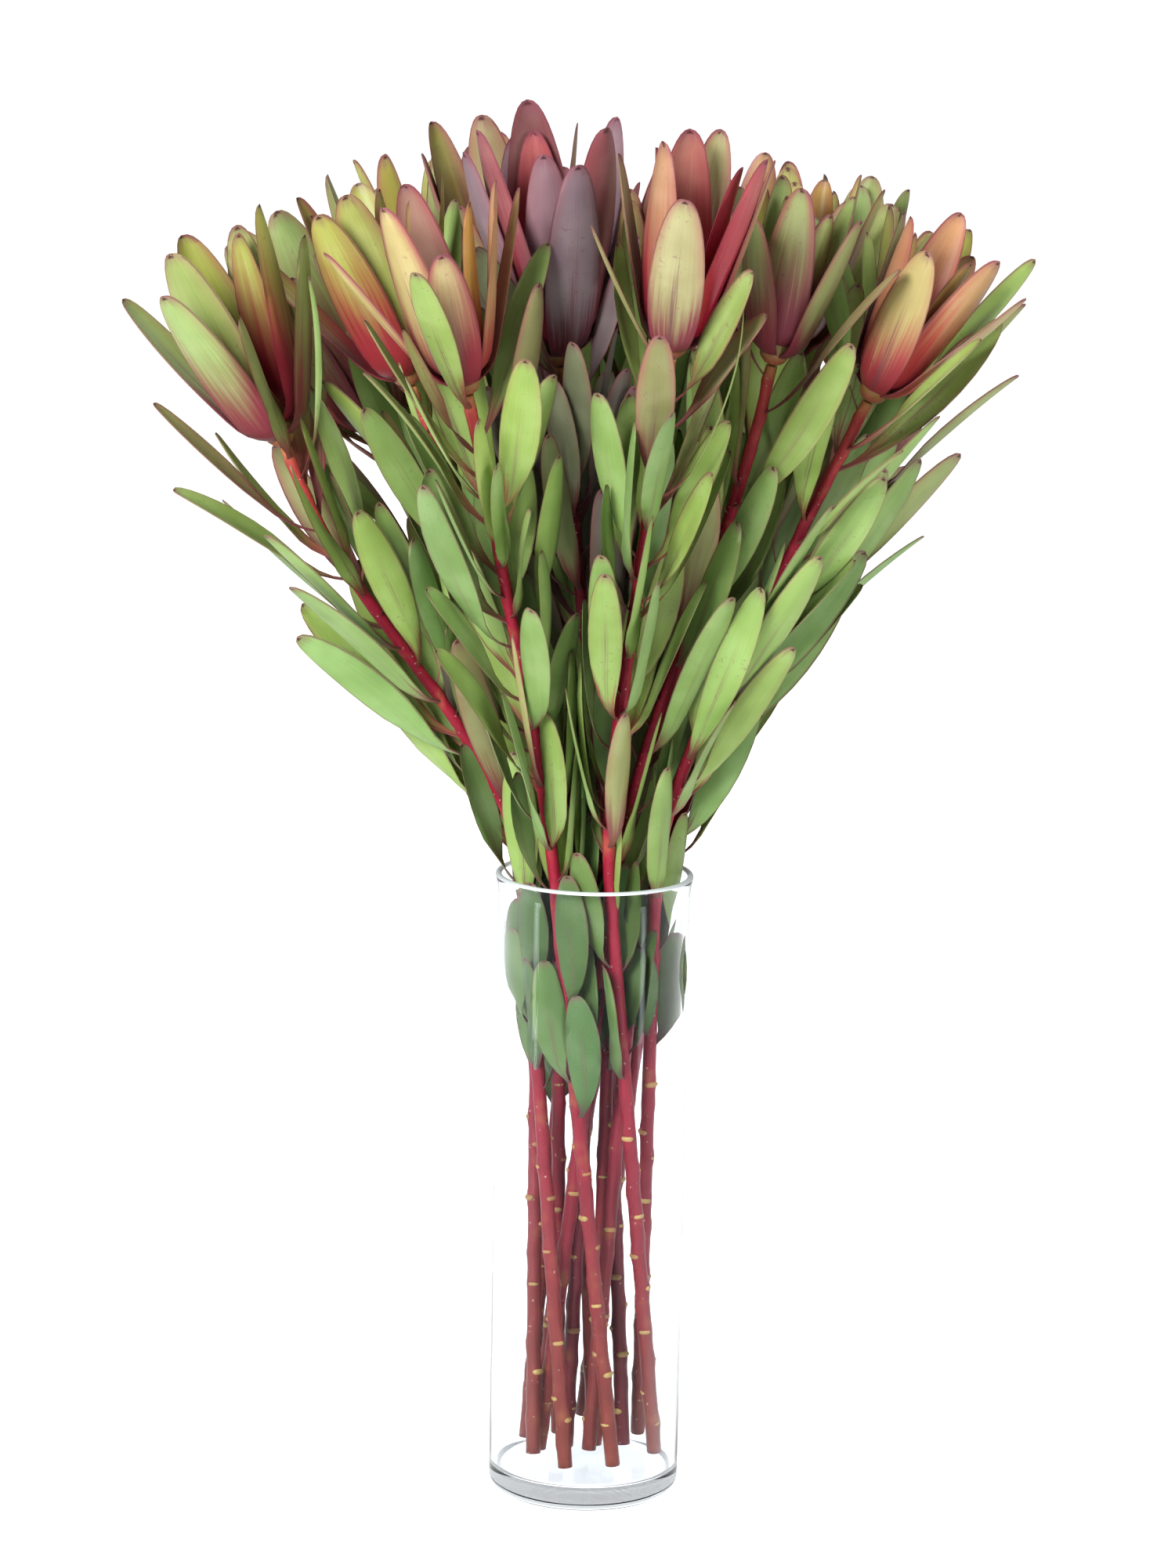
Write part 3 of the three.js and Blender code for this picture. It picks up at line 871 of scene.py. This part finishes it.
def barkColour(plant, z):
    foot, top = plant["route"]["footHeight"], plant["route"]["topHeight"]
    start, length = bark["upperFade"]
    layers = (
        ("lowerColour", smooth((z - foot) / mix(*bark["footFade"], plant["warm"]))),
        ("upperColour", smooth((z - start) / length)),
        ("neckColour", smooth(1 - (top - z) / bark["neckFade"])),
        ("purpleColour", bark["purpleShare"] if plant["tone"] == "purple" else plant["dusk"]),
        ("collarColour", smooth(1 - (top - z) / bark["collarFade"])),
    )
    colour = bark["footColour"]
    for name, share in layers:
        colour = blend(colour, bark[name], share)
    return colour


def stemRows(plant, count):
    route = plant["route"]
    knots = plant["scars"] + plant["leafPlan"]
    rows = []
    for k in range(count + 1):
        z = mix(route["footHeight"], route["topHeight"], k / count)
        cross = crossFrame(route["axis"](z))
        centre, radius = route["point"](z), route["radius"](z)
        for knot in knots:
            near = smooth(1 - abs(z - knot["z"]) / bark["knotReach"])
            centre += around(cross, knot["turn"]) * (near * bark["knotShift"])
            radius += near * bark["knotSwell"]
        rows.append((centre, cross, radius, (*barkColour(plant, z), 1)))
    return rows


def makeWoodyStem(plant):
    route = plant["route"]
    count = round((route["topHeight"] - route["footHeight"]) / bark["rowStep"])
    rows = stemRows(plant, count)
    bm = bmesh.new()
    layer = bm.verts.layers.float_color.new("bark")
    made = bmesh.ops.create_grid(bm, x_segments=bark["sides"], y_segments=count, size=1)["verts"]
    for vert in made:
        centre, cross, radius, colour = rows[round((vert.co.y + 1) / 2 * count)]
        vert.co = (centre + around(cross, math.pi * (vert.co.x + 1)) * radius) * mm
        vert[layer] = colour
    bmesh.ops.remove_doubles(bm, verts=bm.verts, dist=0.05 * mm)
    ends = bmesh.ops.holes_fill(bm, edges=[edge for edge in bm.edges if edge.is_boundary])["faces"]
    cut = min(ends, key=lambda face: face.calc_center_median().z)
    bmesh.ops.inset_region(bm, faces=[cut], thickness=bark["cutRim"] * mm, use_even_offset=True)
    for vert in cut.verts:
        vert[layer] = (*bark["cutColour"], 1)
    for scar in plant["scars"]:
        addScar(bm, layer, route, scar)
    bmesh.ops.recalc_face_normals(bm, faces=bm.faces)
    for face in bm.faces:
        face.smooth = len(face.verts) <= 4  # the two ends stay flat
    mesh = makeMesh(f"woodyStem_{plant['number']}", bm, barkMaterial)
    addPiece(mesh, plant["leafSlot"], plant["stemNode"])


def addScar(bm, layer, route, scar):
    z = scar["z"]
    axis = route["axis"](z)
    outward = around(crossFrame(axis), scar["turn"])
    side = axis.cross(outward)
    wide, high, deep = (size * scar["scale"] for size in bark["scarSize"])
    turned = Matrix((side, axis, outward)).transposed().to_4x4()
    sized = Matrix.Diagonal((wide * mm, high * mm, deep * mm, 1))
    centre = (route["point"](z) + outward * (route["radius"](z) - bark["scarSunk"])) * mm
    matrix = Matrix.Translation(centre) @ turned @ sized
    made = bmesh.ops.create_uvsphere(bm, u_segments=8, v_segments=5, radius=1, matrix=matrix)["verts"]
    for vert in made:
        vert[layer] = (*scar["colour"], 1)


def scarPlans(plant, start, random):
    scars = []
    z, turn = start["z"], start["turn"]
    while z > plant["route"]["footHeight"] + bark["lowestScar"]:
        colour = blend(bark["scarColour"], barkColour(plant, z), draw(random, bark["scarBlend"]))
        scars.append({"z": z, "turn": turn, "scale": draw(random, bark["scarScale"]), "colour": colour})
        z -= bark["scarSpacing"] * draw(random, bark["scarGap"])
        turn += math.radians(leaf["spiral"])
    return scars


# Leaves, those of the CAD first and then as many as find room between them

filling = {
    "layers": ((9.5, 68.0), (4.8, 205.0), (13.0, -20.0)),
    "lowLayers": ((18.0, 110.0), (22.0, -60.0), (7.0, -75.0), (2.0, 160.0), (15.0, -140.0), (11.0, 35.0)),
    "lowBelow": 360,
    "sizes": (1,),
    "openings": (1, 0.7, 0.4, 1.25),
    "turns": (0, 14, -14, 28, -28),
    "size": (0.8, 1.15),
    "curl": (-28, 14),
    "sweep": (-16, 16),
    "nearHead": 0.4,  # past this share of the way to the head, most of the places stay free
    "kept": 0.3,
    "withered": 0.06,  # share of the leaves that have dried to a narrow curled strip
    "witheredRise": 40,  # none is lower than this above the rim
    "witheredWidth": 1.6,
    "witheredCurl": (-55, 30),
}


def makeBlades(plant, bm, name, kind, node):
    for blade in plant[name]:
        growBlade(bm, blade, *bladeMesh[kind])
    slot = plant[f"{kind}Slot"]
    addPiece(makeMesh(f"{name}_{plant['number']}", bm, skins[slot]), slot, plant[node])


# The cone at the heart of a head, with its scales in crossing spirals

cone = {
    "radius": 7.5,
    "height": 36.0,
    "segments": 32,
    "rows": 24,
    "scaleRise": 0.45,
    "spirals": ((8, 40.0), (-5, 32.0)),
    "patternEnd": 0.9,  # the marks of a blade's tip are left off
    "body": (0.3, 0.24, 0.07, 0),
    "flush": (0.35, 0.1, 0.05, 1),
    "marks": (0.3, 0.2, 0.5, 0),
}


def growCone(bm, base, axis):
    cross = crossFrame(axis)
    size = {"u_segments": cone["segments"], "v_segments": cone["rows"], "radius": 1}
    spots = {}
    for vert in bmesh.ops.create_uvsphere(bm, **size)["verts"]:
        t = 1 - math.acos(min(1, max(-1, vert.co.z))) / math.pi
        turn = math.atan2(vert.co.y, vert.co.x)
        scales = sum(math.cos(count * turn + pitch * t) for count, pitch in cone["spirals"]) / 2
        wide = math.sin(math.pi * math.sqrt(t))
        radius = wide * (cone["radius"] - cone["scaleRise"] * (1 - scales))
        vert.co = (base + axis * (cone["height"] * t) + around(cross, turn) * radius) * mm
        spots[vert] = (0.5, t * cone["patternEnd"])
    dress(bm, spots, cone)


def makeHead(plant):
    bm = newBladeMesh()
    growCone(bm, Vector(plant["base"]), plant["route"]["axis"](plant["route"]["topHeight"]))
    makeBlades(plant, bm, "bracts", "bract", "headNode")


def fillLeaf(plan, plant, drop, turn, random):
    route, z = plant["route"], plan["z"] - drop
    form = dict(plan["form"], length=plan["form"]["length"] * draw(random, filling["size"]))
    form.update(leafBends(filling, random))
    if random() < filling["withered"] and z > stem["rimHeight"] + filling["witheredRise"]:
        form["halfWidth"] = filling["witheredWidth"]
        form["curl"] = drawAngle(random, filling["witheredCurl"])
    tries = dict(filling, turns=[turn + extra for extra in filling["turns"]])
    return fitBlade(route["point"](z), route["axis"](z), plan["turn"], form, tries, isClear)


places = ringPlaces()
plants = []
for index, flower in enumerate(flowers):
    random = makeRandom(index + 1)
    number = f"{index + 1:02d}"
    route = makeRoute(flower, places[index], makeRandom(feet["seed"] + index), random)
    leafPlan, lastScar = leafPlans(route, random)
    plant = dict(flower, number=number, route=route, leafPlan=leafPlan, bractPlan=bractPlans(flower, random))
    plant["stemNode"], plant["headNode"] = f"leafy_stem_{number}", f"flower_head_{number}"
    plant["leafSlot"] = "leaf_purple" if flower["tone"] == "purple" else "leaf_green"
    plant["bractSlot"] = f"bract_{flower['tone']}"
    plant["tint"] = makeRandom(tinting["seed"] + index)
    plant["dusk"], plant["warm"] = tinting["dusk"] * plant["tint"](), plant["tint"]()
    plant["scars"] = scarPlans(plant, lastScar, plant["tint"])
    plants.append(plant)

for plant in plants:
    route, fits = plant["route"], tipFinder(plant["stemNode"])
    plant["leaves"] = []
    for plan in plant["leafPlan"]:
        z = plan["z"]
        blade = fitBlade(route["point"](z), route["axis"](z), plan["turn"], plan["form"], leafTries, fits)
        if blade:
            colourLeaf(blade, plant, plan["nearHead"], plant["tint"])
            keepBlade(plant["leaves"], blade)
    base, axis = Vector(plant["base"]), route["axis"](route["topHeight"])
    fits = tipFinder(plant["headNode"])
    plant["bracts"] = []
    for layer, plans in enumerate(plant["bractPlan"]):
        for plan in plans:
            root = base + axis * plan["rise"]
            blade = fitBlade(root, axis, plan["turn"], plan["form"], bractTries, fits)
            if blade:
                colourBract(blade, plant, layer, plant["tint"])
                keepBlade(plant["bracts"], blade)
print("blades of the frame found:", len(placed))

for drop, turn in filling["layers"] + filling["lowLayers"]:
    for plant in plants:
        for plan in plant["leafPlan"]:
            if plan["nearHead"] > filling["nearHead"] and plant["tint"]() > filling["kept"]:
                continue
            if (drop, turn) in filling["lowLayers"] and plan["z"] > filling["lowBelow"]:
                continue
            blade = fillLeaf(plan, plant, drop, turn, plant["tint"])
            if blade:
                colourLeaf(blade, plant, plan["nearHead"], plant["tint"])
                keepBlade(plant["leaves"], blade)
print("blades in all:", len(placed))

for plant in plants:
    makeWoodyStem(plant)
    makeBlades(plant, newBladeMesh(), "leaves", "leaf", "stemNode")
    makeHead(plant)
print("stems, leaves and bracts made")


# Clear glass cylinder vase, turned from its profile

vase = {
    "height": 0.3,
    "radius": 0.045,
    "wall": 0.003,
    "base": 0.012,
    "heel": 0.008,
    "flare": 0.0014,
    "lip": 0.004,
    "sides": 96,
    "absorption": 1.5,
    "tint": (0.96, 0.98, 1.0, 1),
    "edgeTint": (0.68, 0.8, 0.9, 1),
    "edgeFalloff": 3.0,
    "mirrorTint": (0.15, 0.17, 0.19, 1),
    "shadowTint": (0.88, 0.89, 0.9, 1),
    "depthTint": (0.55, 0.78, 0.85, 1),
    # the pale colour of the lip is a painted highlight
    "lipHighlightColour": (0.86, 0.92, 0.96, 1),
}


def arc(x, z, radius, start, end, steps):
    turns = [math.radians(mix(start, end, step / steps)) for step in range(steps + 1)]
    return [(x + radius * math.cos(turn), z + radius * math.sin(turn)) for turn in turns]


def flaringWall(radius, steps):
    heights = (vase["height"] - 3 * vase["lip"], vase["height"] - vase["wall"] / 2)
    return [(radius + vase["flare"] * t * t, mix(*heights, t)) for t in steps]


def vaseProfile():
    height, radius, wall, heel = vase["height"], vase["radius"], vase["wall"], vase["heel"]
    rising = [step / 6 for step in range(1, 7)]
    falling = [1 - t for t in rising]
    points = [(0, 0)] + arc(radius - heel, heel, heel, -90, 0, 8)
    points += flaringWall(radius, rising)
    points += arc(radius + vase["flare"] - wall / 2, height - wall / 2, wall / 2, 0, 180, 8)[1:]
    points += flaringWall(radius - wall, falling)
    points += arc(radius - 2 * wall, vase["base"] + wall, wall, 0, -90, 6)
    return points + [(0, vase["base"])]


def makeGlass():
    material, tree, shader = newMaterial("clearGlass")
    turned = addNode(tree, "LayerWeight")
    setSockets(turned, {"Blend": 0.5})
    edge = calc(tree, "POWER", turned.outputs["Facing"], vase["edgeFalloff"])
    plug(tree, mixColour(tree, edge, vase["tint"], vase["edgeTint"]), shader.inputs["Base Color"])
    setSockets(shader, {"Roughness": 0.0, "IOR": 1.5, "Transmission Weight": 1.0})
    setSockets(shader, {"Specular Tint": vase["mirrorTint"]})
    place = addNode(tree, "TexCoord").outputs["Object"]
    addBump(tree, shader, noise(tree, stretch(tree, place, (1, 1, 0.25)), 55.0, 2.0), 0.12, 0.5)
    through = addNode(tree, "BsdfTransparent", vase["shadowTint"])
    path = addNode(tree, "LightPath").outputs
    lets = calc(tree, "MAXIMUM", path["Is Shadow Ray"], path["Is Diffuse Ray"])
    mixed = addNode(tree, "MixShader", lets, shader.outputs[0], through.outputs[0])
    volume = addNode(tree, "VolumeAbsorption", vase["depthTint"], vase["absorption"])
    output = tree.nodes["Material Output"]
    plug(tree, mixed.outputs[0], output.inputs["Surface"])
    plug(tree, volume.outputs[0], output.inputs["Volume"])
    return material


def makePaintedLipHighlight():  # the rounded lip is pale, half-clear glass, a painted highlight for the light it catches all round, so it reads as a pale line
    material, _, shader = newMaterial("paintedLipHighlight")
    setSockets(shader, {"Base Color": vase["lipHighlightColour"], "Roughness": 0.12, "IOR": 1.5})
    setSockets(shader, {"Transmission Weight": 0.35})
    return material


def makeVase():
    bm = bmesh.new()
    verts = [bm.verts.new((x, 0, z)) for x, z in vaseProfile()]
    edges = [bm.edges.new(pair) for pair in zip(verts, verts[1:])]
    spun = {"axis": (0, 0, 1), "cent": (0, 0, 0), "angle": 2 * math.pi, "use_merge": True}
    bmesh.ops.spin(bm, geom=verts + edges, steps=vase["sides"], **spun)
    bmesh.ops.remove_doubles(bm, verts=bm.verts, dist=1e-6)
    bmesh.ops.recalc_face_normals(bm, faces=bm.faces)
    for face in bm.faces:
        face.smooth = True
        # faces at the top of the lip take the painted highlight
        face.material_index = int(face.calc_center_median().z > vase["height"] - vase["lip"] / 2)
    addPiece(makeMesh("glassVase", bm, makeGlass(), makePaintedLipHighlight()), "glass", "glass_vase")


makeVase()
print("vase made")


# Plain pale floor, soft studio light and the camera

stage = {
    "floorRadius": 24.0,
    "floorColour": (0.86, 0.86, 0.86, 1),
    "floorMirrored": (0.12, 0.12, 0.13, 1),
    "glow": (0.2, 0.7),  # of the floor, and more where it is seen
    "seen": 1.05,
    "sky": 0.13,
    "mirrored": 0.4,
    "throughGlass": 0.75,
    "lostInGlass": 0.06,
    "dimBefore": (-0.02, -0.12),  # the glass mirrors a dim floor where it lies before the vase
    "lightTarget": (0, 0, 0.4),
}


def rayKinds(tree):  # rays that end in the picture, straight or through glass, and rays off a shiny surface
    path = addNode(tree, "LightPath").outputs
    bounced = calc(tree, "GREATER_THAN", calc(tree, "ADD", path["Glossy Depth"], path["Diffuse Depth"]), 0.5)
    passing = minus(tree, stage["throughGlass"], times(tree, bounced, stage["lostInGlass"]))
    passing = times(tree, path["Is Transmission Ray"], passing)
    seen = calc(tree, "MAXIMUM", path["Is Camera Ray"], passing)
    single = minus(tree, 1.0, path["Is Transmission Ray"])
    return seen, times(tree, path["Is Glossy Ray"], single)


def makeFloor():
    bm = bmesh.new()
    bmesh.ops.create_circle(bm, cap_ends=True, segments=96, radius=stage["floorRadius"])
    material, tree, shader = newMaterial("paleFloor")
    seen, mirrored = rayKinds(tree)
    place = addNode(tree, "TexCoord").outputs["Object"]
    _, depth, _ = split(tree, "SeparateXYZ", place)
    mirrored = times(tree, mirrored, fade(tree, depth, *stage["dimBefore"]))
    colour = mixColour(tree, mirrored, stage["floorColour"], stage["floorMirrored"])
    plug(tree, colour, shader.inputs["Base Color"])
    setSockets(shader, {"Roughness": 0.9, "Emission Color": (1, 1, 1, 1)})
    glow = weigh(tree, (minus(tree, 1.0, mirrored), seen), stage["glow"])
    plug(tree, glow, shader.inputs["Emission Strength"])
    floor = addObject("floor", makeMesh("floor", bm, material))


def makeWorld():
    world = bpy.data.worlds.new("studio")
    world.use_nodes = True
    scene.world = world
    tree = world.node_tree
    seen, mirrored = rayKinds(tree)
    sky = stage["sky"]
    strength = weigh(tree, (seen, 1.0, mirrored), (stage["seen"] - sky, sky, stage["mirrored"] - sky))
    plug(tree, strength, tree.nodes["Background"].inputs["Strength"])
    setSockets(tree.nodes["Background"], {"Color": (1, 1, 1, 1)})


softBoxes = {
    "keyLight": {"place": (-1.2, -2.2, 1.5), "size": 1.2, "power": 100},
    "fillLight": {"place": (1.7, -1.7, 1.1), "size": 1.4, "power": 25},
    "backLight": {"place": (0.3, 1.4, 2.1), "size": 1.1, "power": 24},
    "leftStrip": {"place": (-0.6, -0.2, 0.2), "size": 0.05, "tall": 0.3, "power": 0.5},
    "rightStrip": {"place": (0.55, -0.3, 0.2), "size": 0.05, "tall": 0.3, "power": 0.4},
}


def makeLights():
    for name, box in softBoxes.items():
        light = bpy.data.lights.new(name, "AREA")
        light.shape = "RECTANGLE" if "tall" in box else "DISK"
        light.size, light.size_y, light.energy = box["size"], box.get("tall", 1), box["power"]
        lamp = addObject(name, light)
        lamp.location = box["place"]
        lamp.visible_camera = False
        aim = Vector(stage["lightTarget"]) - lamp.location
        lamp.rotation_euler = aim.to_track_quat("-Z", "Y").to_euler()


camera = {
    "place": (0, -2.6, 0.86),
    "pitch": 11.27,
    "roll": 1.14,
    "lens": 130.5,
    "sensor": 36,
    "shiftX": -0.0057,
}


def makeCamera():
    data = bpy.data.cameras.new("camera")
    data.lens, data.sensor_width, data.shift_x = camera["lens"], camera["sensor"], camera["shiftX"]
    seen = addObject("camera", data)
    tilt = Matrix.Rotation(math.radians(90 - camera["pitch"]), 4, "X")
    roll = Matrix.Rotation(math.radians(camera["roll"]), 4, "Z")
    seen.matrix_world = Matrix.Translation(camera["place"]) @ tilt @ roll
    scene.camera = seen


makeFloor()
makeWorld()
makeLights()
makeCamera()
scene.view_settings.view_transform = "Standard"
print("stage ready")
